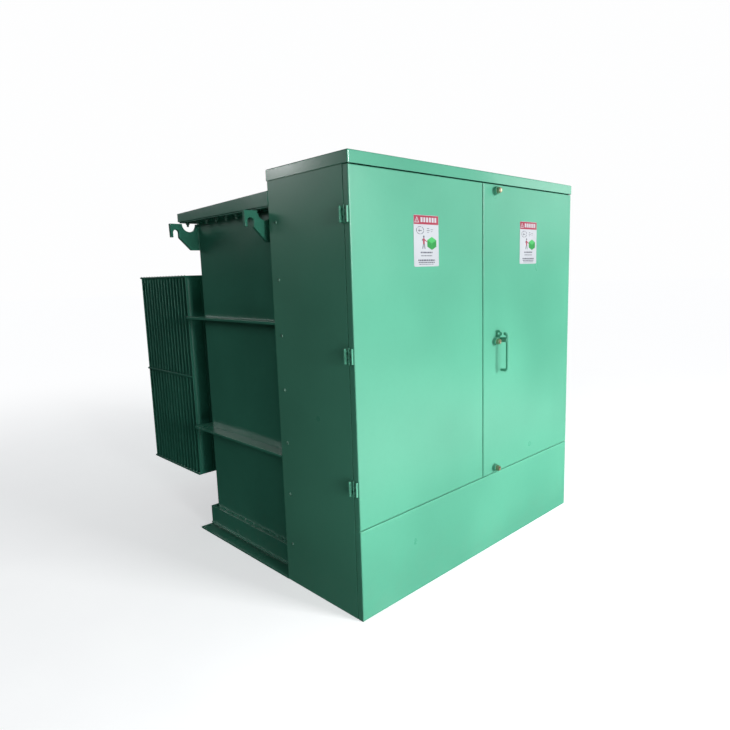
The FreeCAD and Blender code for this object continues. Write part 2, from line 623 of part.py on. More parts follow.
vx, vz = VALVE
valve = fuse(ycyl(vx, vz, PLATE_Y0 - 42, 530, 21), ycyl(vx, vz, PLATE_Y0 - 10, PLATE_Y0, 32),
             Part.makeSphere(30, V(vx, PLATE_Y0 - 60, vz)), zcyl(vx, PLATE_Y0 - 60, vz - 52, vz, 17),
             zcyl(vx, PLATE_Y0 - 60, vz - 62, vz - 50, 22), ycyl(vx, vz, 392, 420, 13))
valve = valve.cut(ycyl(vx, vz, 380, 414, 6.2))
add("drain_valve_body", valve)
wheel = fuse(ycyl(vx, vz, 372, 388, 12), ycyl(vx, vz, 372, 412, 5.6))
wheel = fuse(wheel, Part.makeTorus(34, 4.5, V(vx, 378, vz), V(0, 1, 0)))
for i in range(3):
    a = math.radians(90 + 120 * i)
    spoke = Part.makeCylinder(3.6, 34, V(vx, 378, vz), V(math.cos(a), 0, math.sin(a)))
    wheel = fuse(wheel, spoke)
add("drain_valve_wheel", wheel)

rx, rz = RELIEF
relief = fuse(ycyl(rx, rz, PLATE_Y0, 530, 14), polygon_head(rx, rz, 480, PLATE_Y0, 24, 6), ycyl(rx, rz, 440, 480, 17),
              ycyl(rx, rz, 432, 440, 12))
relief = fuse(relief, Part.makeTorus(12, 2.2, V(rx, 421, rz), V(1, 0, 0)))
add("relief_valve", relief)

# -------------------------------------------------------------------- export
total = 0
for name, solids in parts.items():
    out = []
    for s in solids:
        for piece in s.Solids:
            piece = piece.copy()
            piece.translate(V(0, -Y_ORIGIN, 0))
            if not piece.isValid():
                print("INVALID", name)
            out.append(piece)
    shape = out[0] if len(out) == 1 else Part.makeCompound(out)
    total += len(out)
    shape.exportStep("parts/%s.step" % name)
box_all = Part.makeCompound([s for ss in parts.values() for s in ss]).BoundBox
print(len(parts), "nodes", total, "solids")
print("box x %.1f %.1f y %.1f %.1f z %.1f %.1f" % (box_all.XMin, box_all.XMax, box_all.YMin - Y_ORIGIN,
                                                   box_all.YMax - Y_ORIGIN, box_all.ZMin, box_all.ZMax))
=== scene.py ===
import bpy
import bmesh
import json
import math
import random
from mathutils import Quaternion, Vector, Matrix


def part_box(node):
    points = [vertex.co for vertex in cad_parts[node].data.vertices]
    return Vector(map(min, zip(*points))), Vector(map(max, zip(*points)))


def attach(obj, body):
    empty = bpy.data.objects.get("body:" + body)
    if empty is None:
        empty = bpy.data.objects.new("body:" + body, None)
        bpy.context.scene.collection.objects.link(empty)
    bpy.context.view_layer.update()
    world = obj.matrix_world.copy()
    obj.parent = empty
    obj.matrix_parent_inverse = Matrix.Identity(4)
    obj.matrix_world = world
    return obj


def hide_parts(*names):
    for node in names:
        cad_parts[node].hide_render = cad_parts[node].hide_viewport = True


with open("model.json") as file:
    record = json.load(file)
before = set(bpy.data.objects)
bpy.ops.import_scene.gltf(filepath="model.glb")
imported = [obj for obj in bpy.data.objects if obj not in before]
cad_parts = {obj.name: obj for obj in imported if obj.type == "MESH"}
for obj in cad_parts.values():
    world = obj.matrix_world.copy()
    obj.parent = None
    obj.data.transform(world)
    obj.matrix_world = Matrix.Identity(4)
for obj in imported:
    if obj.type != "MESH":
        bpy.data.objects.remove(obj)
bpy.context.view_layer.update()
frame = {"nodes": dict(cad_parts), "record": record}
NODES = frame["nodes"]

# ---------------------------------------------------------------- stage
scene = bpy.context.scene
scene.view_settings.view_transform = "Standard"
scene.view_settings.look = "None"
scene.view_settings.exposure = 0.0
scene.view_settings.gamma = 1.0


def make_camera():
    rx, ry, rz = 1.6193, -0.67756, 0.53539
    ang = math.sqrt(rx * rx + ry * ry + rz * rz)
    turn = Matrix.Rotation(ang, 3, Vector((rx, ry, rz)) / ang)
    right, down, ahead = Vector(turn[0]), Vector(turn[1]), Vector(turn[2])
    m = Matrix.Identity(4)
    for i in range(3):
        m[i][0], m[i][1], m[i][2] = right[i], -down[i], -ahead[i]
    m.translation = Vector((-2.3205, -2.5946, 1.4046))
    data = bpy.data.cameras.new("camera")
    data.sensor_width = 36.0
    data.lens = 28.752
    data.clip_start, data.clip_end = 0.05, 200.0
    cam = bpy.data.objects.new("camera", data)
    scene.collection.objects.link(cam)
    cam.matrix_world = m
    scene.camera = cam


def area_light(name, loc, target, w, h, radiance, color=(1, 1, 1), roll=0.0, glossy=True):
    data = bpy.data.lights.new(name, "AREA")
    data.shape = "RECTANGLE"
    data.size, data.size_y = w, h
    data.energy = radiance * math.pi * w * h
    data.color = color
    ob = bpy.data.objects.new(name, data)
    scene.collection.objects.link(ob)
    ob.location = loc
    ob.rotation_mode = "QUATERNION"
    aim = (Vector(target) - Vector(loc)).to_track_quat("-Z", "Y")
    ob.rotation_quaternion = aim @ Quaternion((0, 0, 1), math.radians(roll))
    ob.visible_camera = False
    ob.visible_glossy = glossy
    return ob


def make_world():
    world = bpy.data.worlds.new("studio")
    scene.world = world
    world.use_nodes = True
    nt = world.node_tree
    nt.nodes.clear()
    out = nt.nodes.new("ShaderNodeOutputWorld")
    mix = nt.nodes.new("ShaderNodeMixShader")
    path = nt.nodes.new("ShaderNodeLightPath")
    pale = nt.nodes.new("ShaderNodeBackground")
    pale.inputs["Color"].default_value = (0.99, 0.992, 0.995, 1)
    pale.inputs["Strength"].default_value = 1.0
    sky = nt.nodes.new("ShaderNodeBackground")
    coord = nt.nodes.new("ShaderNodeTexCoord")
    sep = nt.nodes.new("ShaderNodeSeparateXYZ")
    ramp = nt.nodes.new("ShaderNodeValToRGB")
    ramp.color_ramp.elements[0].position = 0.0
    ramp.color_ramp.elements[0].color = (0.015, 0.02, 0.018, 1)
    ramp.color_ramp.elements[1].position = 1.0
    ramp.color_ramp.elements[1].color = (0.26, 0.28, 0.29, 1)
    for pos, c in ((0.50, (0.03, 0.035, 0.032, 1)), (0.54, (0.16, 0.165, 0.16, 1)), (0.62, (0.62, 0.64, 0.65, 1)), (0.72, (0.52, 0.54, 0.55, 1))):
        e = ramp.color_ramp.elements.new(pos)
        e.color = c
    half = nt.nodes.new("ShaderNodeMath")
    half.operation = "MULTIPLY_ADD"
    half.inputs[1].default_value = 0.5
    half.inputs[2].default_value = 0.5
    nt.links.new(coord.outputs["Generated"], sep.inputs[0])
    nt.links.new(sep.outputs["Z"], half.inputs[0])
    nt.links.new(half.outputs[0], ramp.inputs[0])
    nt.links.new(ramp.outputs[0], sky.inputs["Color"])
    sky.inputs["Strength"].default_value = SKY
    nt.links.new(path.outputs["Is Camera Ray"], mix.inputs[0])
    nt.links.new(sky.outputs[0], mix.inputs[1])
    nt.links.new(pale.outputs[0], mix.inputs[2])
    nt.links.new(mix.outputs[0], out.inputs[0])


SKY = 0.38
make_camera()
make_world()
area_light("key_front", (1.75, -7.5, 2.75), (0.1, -0.9, 0.9), 2.2, 1.3, 54.0)
area_light("front_left", (-2.0, -9.5, 2.2), (-0.8, -0.6, 1.2), 1.4, 1.4, 38.0)
area_light("low_front", (0.5, -2.1, 0.22), (0.3, -0.98, 0.32), 6.0, 0.5, 3.8, glossy=False)
area_light("window_right", (8.6, -5.4, 3.0), (0.4, -0.98, 1.6), 2.2, 2.3, 1.6)
area_light("bounce_front", (0.6, -3.3, 0.03), (0.6, -3.3, 2.0), 5.0, 2.6, 0.9)
area_light("window_rear_left", (-7.52, 11.6, 5.25), (-0.84, -0.7, 1.83), 4.9, 2.6, 5.3, roll=4.0)
area_light("fill_back", (2.5, 8.0, 4.5), (0.0, 0.5, 0.8), 6.0, 3.0, 1.6)
area_light("fill_right", (8.0, -1.0, 4.0), (0.8, 0.0, 0.9), 5.0, 3.0, 1.8)


# ---------------------------------------------------------------- materials
def new_mat(name):
    m = bpy.data.materials.new(name)
    m.use_nodes = True
    nt = m.node_tree
    nt.nodes.clear()
    out = nt.nodes.new("ShaderNodeOutputMaterial")
    b = nt.nodes.new("ShaderNodeBsdfPrincipled")
    nt.links.new(b.outputs[0], out.inputs[0])
    return m, nt, b


def n_noise(nt, vec, scale, detail=3.0, rough=0.55, stretch=None):
    if stretch:
        mp = nt.nodes.new("ShaderNodeMapping")
        mp.inputs["Scale"].default_value = stretch
        nt.links.new(vec, mp.inputs["Vector"])
        vec = mp.outputs[0]
    t = nt.nodes.new("ShaderNodeTexNoise")
    t.inputs["Scale"].default_value = scale
    t.inputs["Detail"].default_value = detail
    t.inputs["Roughness"].default_value = rough
    nt.links.new(vec, t.inputs["Vector"])
    return t.outputs["Fac"]


def n_range(nt, sock, a, b, c=0.0, d=1.0, smooth=False):
    r = nt.nodes.new("ShaderNodeMapRange")
    if smooth:
        r.interpolation_type = "SMOOTHSTEP"
    r.inputs["From Min"].default_value = a
    r.inputs["From Max"].default_value = b
    r.inputs["To Min"].default_value = c
    r.inputs["To Max"].default_value = d
    nt.links.new(sock, r.inputs["Value"])
    return r.outputs["Result"]


def n_math(nt, op, a, b=None, clamp=False):
    m = nt.nodes.new("ShaderNodeMath")
    m.operation = op
    m.use_clamp = clamp
    for i, v in enumerate((a, b)):
        if v is None:
            continue
        if isinstance(v, (int, float)):
            m.inputs[i].default_value = v
        else:
            nt.links.new(v, m.inputs[i])
    return m.outputs[0]


def n_mix(nt, fac, a, b, mode="MIX"):
    m = nt.nodes.new("ShaderNodeMix")
    m.data_type = "RGBA"
    m.blend_type = mode
    if isinstance(fac, (int, float)):
        m.inputs[0].default_value = fac
    else:
        nt.links.new(fac, m.inputs[0])
    for i, v in ((6, a), (7, b)):
        if isinstance(v, tuple):
            m.inputs[i].default_value = (*v, 1) if len(v) == 3 else v
        else:
            nt.links.new(v, m.inputs[i])
    return m.outputs[2]


def n_bump(nt, height, strength, distance, normal=None):
    b = nt.nodes.new("ShaderNodeBump")
    b.inputs["Strength"].default_value = strength
    b.inputs["Distance"].default_value = distance
    nt.links.new(height, b.inputs["Height"])
    if normal is not None:
        nt.links.new(normal, b.inputs["Normal"])
    return b.outputs[0]


def n_edge(nt, radius):
    """how close the point is to a sharp edge, 0 to 1, and the rounded normal"""
    bev = nt.nodes.new("ShaderNodeBevel")
    bev.samples = 6
    bev.inputs["Radius"].default_value = radius
    geo = nt.nodes.new("ShaderNodeNewGeometry")
    dot = nt.nodes.new("ShaderNodeVectorMath")
    dot.operation = "DOT_PRODUCT"
    nt.links.new(bev.outputs[0], dot.inputs[0])
    nt.links.new(geo.outputs["Normal"], dot.inputs[1])
    return n_range(nt, dot.outputs["Value"], 0.995, 0.80), bev.outputs[0]


def paint(name, color, rough=0.34, level=0.45, waves=0.5, dust=0.25, wear_and_highlight=0.35, peel=0.06, shade=0.07):
    """sprayed paint on sheet steel: slow colour drift, orange peel, dust towards
    the ground, rain streaks, thin worn edges that are also lightened as a painted edge highlight, and the soft waviness
    of the sheet"""
    m, nt, b = new_mat(name)
    tc = nt.nodes.new("ShaderNodeTexCoord")
    vec = tc.outputs["Object"]
    sep = nt.nodes.new("ShaderNodeSeparateXYZ")
    nt.links.new(vec, sep.inputs[0])
    geo = nt.nodes.new("ShaderNodeNewGeometry")
    gsep = nt.nodes.new("ShaderNodeSeparateXYZ")
    nt.links.new(geo.outputs["Normal"], gsep.inputs[0])
    big = n_noise(nt, vec, 1.7, 2.0)
    fine = n_noise(nt, vec, 38.0, 4.0)
    streak = n_noise(nt, vec, 9.0, 4.0, 0.6, (4.0, 4.0, 0.22))
    light = tuple(min(1, c * (1 + shade * 1.6) + 0.004) for c in color)
    dark = tuple(c * (1 - shade * 1.5) for c in color)
    col = n_mix(nt, n_range(nt, big, 0.25, 0.75, smooth=True), dark, light)
    col = n_mix(nt, n_range(nt, fine, 0.35, 0.85, 0.0, 0.07, True), col, tuple(c * 0.72 for c in color))
    # rain streaks and dust
    st = n_range(nt, streak, 0.45, 0.85, 0.0, 0.05 * (0.4 + dust), True)
    grey = tuple(0.55 * c + 0.45 * g for c, g in zip(color, (0.33, 0.33, 0.29)))
    col = n_mix(nt, st, col, grey)
    low = n_range(nt, sep.outputs["Z"], 0.34, 0.0, 0.0, 1.0, True)
    spots = n_range(nt, n_noise(nt, vec, 14.0, 5.0, 0.65), 0.42, 0.72)
    dirt = n_math(nt, "MULTIPLY", n_math(nt, "MULTIPLY", low, spots), dust)
    up = n_range(nt, gsep.outputs["Z"], 0.5, 0.95, 0.0, dust * 0.9)
    updust = n_math(nt, "MULTIPLY", up, n_range(nt, n_noise(nt, vec, 22.0, 4.0), 0.3, 0.7, 0.35, 1.0))
    dirt = n_math(nt, "MAXIMUM", dirt, updust)
    col = n_mix(nt, dirt, col, (0.27, 0.27, 0.225))
    # chipped edges turn a paler green: partly edge wear, partly a painted edge highlight
    edge, round_n = n_edge(nt, 0.0022)
    chips = n_range(nt, n_noise(nt, vec, 90.0, 4.0, 0.7), 0.46, 0.62)
    worn_edge_and_highlight = n_math(nt, "MULTIPLY", n_math(nt, "MULTIPLY", edge, chips), wear_and_highlight)
    col = n_mix(nt, worn_edge_and_highlight, col, tuple(min(1, c * 1.9 + 0.05) for c in color))
    nt.links.new(col, b.inputs["Base Color"])
    r = n_range(nt, n_noise(nt, vec, 3.0, 2.0), 0.2, 0.8, rough - 0.02, rough + 0.035, True)
    r = n_math(nt, "ADD", r, n_math(nt, "MULTIPLY", dirt, 0.5), clamp=True)
    nt.links.new(r, b.inputs["Roughness"])
    b.inputs["Specular IOR Level"].default_value = level
    wav = n_bump(nt, n_noise(nt, vec, 2.6, 1.0, 0.4), waves, 0.012, round_n)
    ripple = n_bump(nt, n_noise(nt, vec, 11.0, 1.5, 0.4), waves * 0.5, 0.0015, wav)
    orange = n_bump(nt, n_noise(nt, vec, 420.0, 1.5, 0.5), peel, 0.0012, ripple)
    nt.links.new(orange, b.inputs["Normal"])
    return m


def metal(name, color, rough=0.32, brushed=(1, 1, 1), tarnish=(0.2, 0.18, 0.13), spoil=0.35):
    m, nt, b = new_mat(name)
    tc = nt.nodes.new("ShaderNodeTexCoord")
    vec = tc.outputs["Object"]
    grain = n_noise(nt, vec, 160.0, 4.0, 0.6, brushed)
    spots = n_noise(nt, vec, 46.0, 5.0, 0.65)
    edge, round_n = n_edge(nt, 0.0012)
    col = n_mix(nt, n_range(nt, grain, 0.3, 0.7), tuple(c * 0.86 for c in color), tuple(min(1, c * 1.1) for c in color))
    col = n_mix(nt, n_range(nt, spots, 0.45, 0.75, 0.0, spoil), col, tarnish)
    # painted edge highlight: sharp edges lightened from the base colour
    col = n_mix(nt, n_math(nt, "MULTIPLY", edge, 0.45), col, tuple(min(1, c * 1.3 + 0.08) for c in color))
    nt.links.new(col, b.inputs["Base Color"])
    b.inputs["Metallic"].default_value = 1.0
    nt.links.new(n_range(nt, spots, 0.3, 0.75, rough - 0.06, rough + 0.2), b.inputs["Roughness"])
    nt.links.new(n_bump(nt, grain, 0.12, 0.0006, round_n), b.inputs["Normal"])
    return m


def plastic(name, color, rough=0.4, level=0.5, mottled=0.12, scale=120.0):
    m, nt, b = new_mat(name)
    tc = nt.nodes.new("ShaderNodeTexCoord")
    vec = tc.outputs["Object"]
    big = n_noise(nt, vec, 9.0, 3.0)
    fine = n_noise(nt, vec, scale, 3.0)
    edge, round_n = n_edge(nt, 0.0012)
    col = n_mix(nt, n_range(nt, big, 0.3, 0.7), tuple(c * (1 - mottled) for c in color),
                tuple(min(1, c * (1 + mottled) + 0.003) for c in color))
    # painted edge highlight: sharp edges lightened from the base colour
    col = n_mix(nt, n_math(nt, "MULTIPLY", edge, 0.25), col, tuple(min(1, c * 1.5 + 0.03) for c in color))
    nt.links.new(col, b.inputs["Base Color"])
    nt.links.new(n_range(nt, fine, 0.3, 0.7, rough - 0.05, rough + 0.08), b.inputs["Roughness"])
    b.inputs["Specular IOR Level"].default_value = level
    nt.links.new(n_bump(nt, fine, 0.1, 0.0006, round_n), b.inputs["Normal"])
    return m


GREEN = (0.089, 0.350, 0.233)
M = {
    "cabinet_paint": paint("cabinet_paint_coat", GREEN, rough=0.29, dust=0.06, wear_and_highlight=0.5, waves=0.22, peel=0.03, shade=0.05),
    "tank_paint": paint("tank_paint_coat", (0.052, 0.270, 0.182), rough=0.22, waves=0.35, dust=0.09, wear_and_highlight=0.3, shade=0.06),
    "radiator_paint": paint("radiator_paint_coat", (0.036, 0.220, 0.150), rough=0.36, level=0.3, waves=0.3, dust=0.09, wear_and_highlight=0.3),
    "zinc_steel": metal("zinc_plate", (0.60, 0.64, 0.65), 0.34, spoil=0.3, tarnish=(0.34, 0.36, 0.36)),
    "brass": metal("cast_brass", (0.60, 0.50, 0.34), 0.30, tarnish=(0.30, 0.22, 0.11), spoil=0.5),
    "label": plastic("label_white", (0.440, 0.462, 0.495), 0.45, 0.4, 0.02),
    "gasket_rubber": plastic("gasket_black", (0.02, 0.02, 0.02), 0.75, 0.3, 0.3),
    "core_steel": metal("core_laminations", (0.30, 0.31, 0.33), 0.4, (1, 14, 1), spoil=0.4),
    "winding": plastic("kraft_paper", (0.42, 0.26, 0.12), 0.8, 0.2, 0.2, 60.0),
    "epoxy": plastic("epoxy_black", (0.022, 0.020, 0.020), 0.28, 0.5, 0.25),
    "tinned_aluminium": metal("tin_plate", (0.74, 0.75, 0.76), 0.36, (1, 1, 8), spoil=0.15, tarnish=(0.45, 0.45, 0.44)),
    "gauge_black": plastic("gauge_black_case", (0.018, 0.018, 0.019), 0.3, 0.5, 0.2),
}
slot_of = {s["node"]: s["material_slot"] for s in frame["record"]["subparts"]}
HOOD_COAT = paint("hood_paint_coat", GREEN, rough=0.15, level=0.85, dust=0.0, wear_and_highlight=0.5, waves=0.15, shade=0.04, peel=0.02)
for name, ob in NODES.items():
    ob.data.materials.clear()
    ob.data.materials.append(HOOD_COAT if name == "hood" else M[slot_of[name]])
    for p in ob.data.polygons:
        p.material_index = 0



# ---------------------------------------------------------------- mesh code
Y0 = -0.980            # the doors' face
HALF = 0.8385
TX = 0.7745
TANK_REAR = 0.292
rng = random.Random(7)


class Shape:
    """vertices and faces gathered in metres, with a material number per face"""

    def __init__(self):
        self.v, self.f, self.m = [], [], []

    def add(self, verts, faces, mat=0):
        n = len(self.v)
        self.v += [tuple(p) for p in verts]
        self.f += [tuple(n + i for i in f) for f in faces]
        self.m += [mat] * len(faces)

    def lathe(self, profile, origin, axis, n=32, mat=0, phase=0.0):
        """profile of (radius, height along axis), closed at the ends where radius is 0"""
        axis = Vector(axis).normalized()
        side = axis.orthogonal().normalized()
        other = axis.cross(side)
        origin = Vector(origin)
        verts, rows = [], []
        for r, h in profile:
            row = []
            if r < 1e-7:
                row = [len(verts)]
                verts.append(origin + axis * h)
            else:
                for i in range(n):
                    a = 2 * math.pi * i / n + phase
                    row.append(len(verts))
                    verts.append(origin + axis * h + (side * math.cos(a) + other * math.sin(a)) * r)
            rows.append(row)
        faces = []
        for a, b in zip(rows, rows[1:]):
            for i in range(n):
                j = (i + 1) % n
                if len(a) == 1 and len(b) == 1:
                    continue
                if len(a) == 1:
                    faces.append((a[0], b[i], b[j]))
                elif len(b) == 1:
                    faces.append((a[i], b[0], a[j]))
                else:
                    faces.append((a[i], b[i], b[j], a[j]))
        self.add(verts, faces, mat)

    def tube(self, path, radius, n=12, mat=0, radii=None, cap=True):
        """round bar along a path of points, with turned frames and flat end caps when cap is set"""
        pts = [Vector(p) for p in path]
        verts, rows = [], []
        t = (pts[1] - pts[0]).normalized()
        side = t.orthogonal().normalized()
        for k, p in enumerate(pts):
            if k == 0:
                t = (pts[1] - pts[0]).normalized()
            elif k == len(pts) - 1:
                t = (pts[-1] - pts[-2]).normalized()
            else:
                t = (pts[k + 1] - pts[k - 1]).normalized()
            side = (side - t * side.dot(t)).normalized()
            up = t.cross(side)
            r = radii[k] if radii else radius
            row = []
            for i in range(n):
                a = 2 * math.pi * i / n
                row.append(len(verts))
                verts.append(p + (side * math.cos(a) + up * math.sin(a)) * r)
            rows.append(row)
        faces = []
        for a, b in zip(rows, rows[1:]):
            for i in range(n):
                j = (i + 1) % n
                faces.append((a[i], a[j], b[j], b[i]))
        if cap:
            faces.append(tuple(reversed(rows[0])))
            faces.append(tuple(rows[-1]))
        self.add(verts, faces, mat)

    def slab(self, lo, hi, bevel=0.0, mat=0, seg=2):
        """box with rounded edges"""
        bm = bmesh.new()
        bmesh.ops.create_cube(bm, size=1.0)
        c = (Vector(lo) + Vector(hi)) / 2
        d = Vector(hi) - Vector(lo)
        for v in bm.verts:
            v.co = Vector((c[i] + v.co[i] * d[i] for i in range(3)))
        if bevel > 0:
            bmesh.ops.bevel(bm, geom=list(bm.edges), offset=bevel, segments=seg, profile=0.5, affect="EDGES")
        self.take(bm, mat)

    def take(self, bm, mat=0):
        bm.verts.index_update()
        self.add([v.co.copy() for v in bm.verts], [[v.index for v in f.verts] for f in bm.faces], mat)
        bm.free()

    def bead(self, a, b, r, step=0.0035, wander=0.10, mat=0, start=0.0):
        """rippled weld bead from a to b, half sunk in the corner that it joins"""
        a, b = Vector(a), Vector(b)
        n = max(3, int((b - a).length / step))
        pts, rr = [], []
        for i in range(n + 1):
            u = i / n
            pts.append(a.lerp(b, u))
            rr.append(r * (1 + wander * math.sin(i * 2.1 + start) + wander * 0.8 * (rng.random() - 0.5)) * (0.45 if i in (0, n) else 1))
        self.tube(pts, r, 8, mat, rr)

    def ring_bead(self, centre, axis, radius, r, mat=0, n=56):
        axis = Vector(axis).normalized()
        side = axis.orthogonal().normalized()
        other = axis.cross(side)
        pts = [Vector(centre) + (side * math.cos(2 * math.pi * i / n) + other * math.sin(2 * math.pi * i / n)) * radius
               for i in range(n + 1)]
        rr = [r * (1 + 0.12 * math.sin(i * 2.3) + 0.08 * (rng.random() - 0.5)) for i in range(n)]
        rr.append(rr[0])
        self.tube(pts, r, 8, mat, rr, cap=False)

    def poly_head(self, origin, axis, across, height, sides, chamfer=0.0012, mat=0, phase=0.0, dish=0.0):
        """bolt head with a turned chamfer and a shallow dish"""
        axis = Vector(axis).normalized()
        side = axis.orthogonal().normalized()
        other = axis.cross(side)
        origin = Vector(origin)
        r = across / 2

        def ring(rad, h, rounded=0.0, n=sides * 6):
            out = []
            for i in range(n):
                a = 2 * math.pi * i / n + phase
                seg = 2 * math.pi / sides
                local = (a - phase) % seg - seg / 2
                pr = rad * math.cos(seg / 2) / math.cos(local)
                rr = pr * (1 - rounded) + min(pr, rad * math.cos(seg / 2) * 1.04) * rounded
                out.append(origin + axis * h + (side * math.cos(a) + other * math.sin(a)) * rr)
            return out
        n = sides * 6
        rows = [ring(r, 0), ring(r, height - chamfer), ring(r * 0.985, height - chamfer * 0.35, 0.6), ring(r * 0.93, height, 1.0)]
        inner = [origin + axis * (height - dish * k) + (side * math.cos(2 * math.pi * i / n + phase) + other * math.sin(2 * math.pi * i / n + phase)) * r * f
                 for f, k in ((0.6, 0.1), (0.42, 0.9)) for i in range(n)]
        verts = [p for row in rows for p in row] + inner + [origin + axis * (height - dish)]
        faces = []
        total = len(rows) + 2
        for k in range(total - 1):
            for i in range(n):
                j = (i + 1) % n
                faces.append((k * n + i, k * n + j, (k + 1) * n + j, (k + 1) * n + i))
        last = (total - 1) * n
        for i in range(n):
            faces.append((last + i, last + (i + 1) % n, total * n))
        faces.append(tuple(reversed(range(n))))
        self.add(verts, faces, mat)


def piece(name, shape, body, mats, replaces=(), smooth=35.0):
    me = bpy.data.meshes.new(name)
    me.from_pydata(shape.v, [], shape.f)
    for m in mats:
        me.materials.append(m)
    for p, k in zip(me.polygons, shape.m):
        p.material_index = k
    me.validate(clean_customdata=False)
    bm = bmesh.new()
    bm.from_mesh(me)
    bmesh.ops.recalc_face_normals(bm, faces=bm.faces)
    for f in bm.faces:
        f.smooth = True
    lim = math.radians(smooth)
    for e in bm.edges:
        if len(e.link_faces) == 2 and e.calc_face_angle(0.0) > lim:
            e.smooth = False
    bm.to_mesh(me)
    bm.free()
    ob = bpy.data.objects.new(name, me)
    scene.collection.objects.link(ob)
    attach(ob, body)
    if replaces:
        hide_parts(*replaces)
    return ob


# ---------------------------------------------------------------- labels
LABEL_RED = plastic("label_red", (0.30, 0.018, 0.050), 0.45, 0.4, 0.04)
LABEL_GREY = plastic("label_grey", (0.085, 0.090, 0.115), 0.5, 0.3, 0.04)
LABEL_GREEN = plastic("label_green", (0.014, 0.235, 0.045), 0.45, 0.4, 0.04)
LABEL_LEAF = plastic("label_green_light", (0.045, 0.380, 0.095), 0.45, 0.4, 0.04)


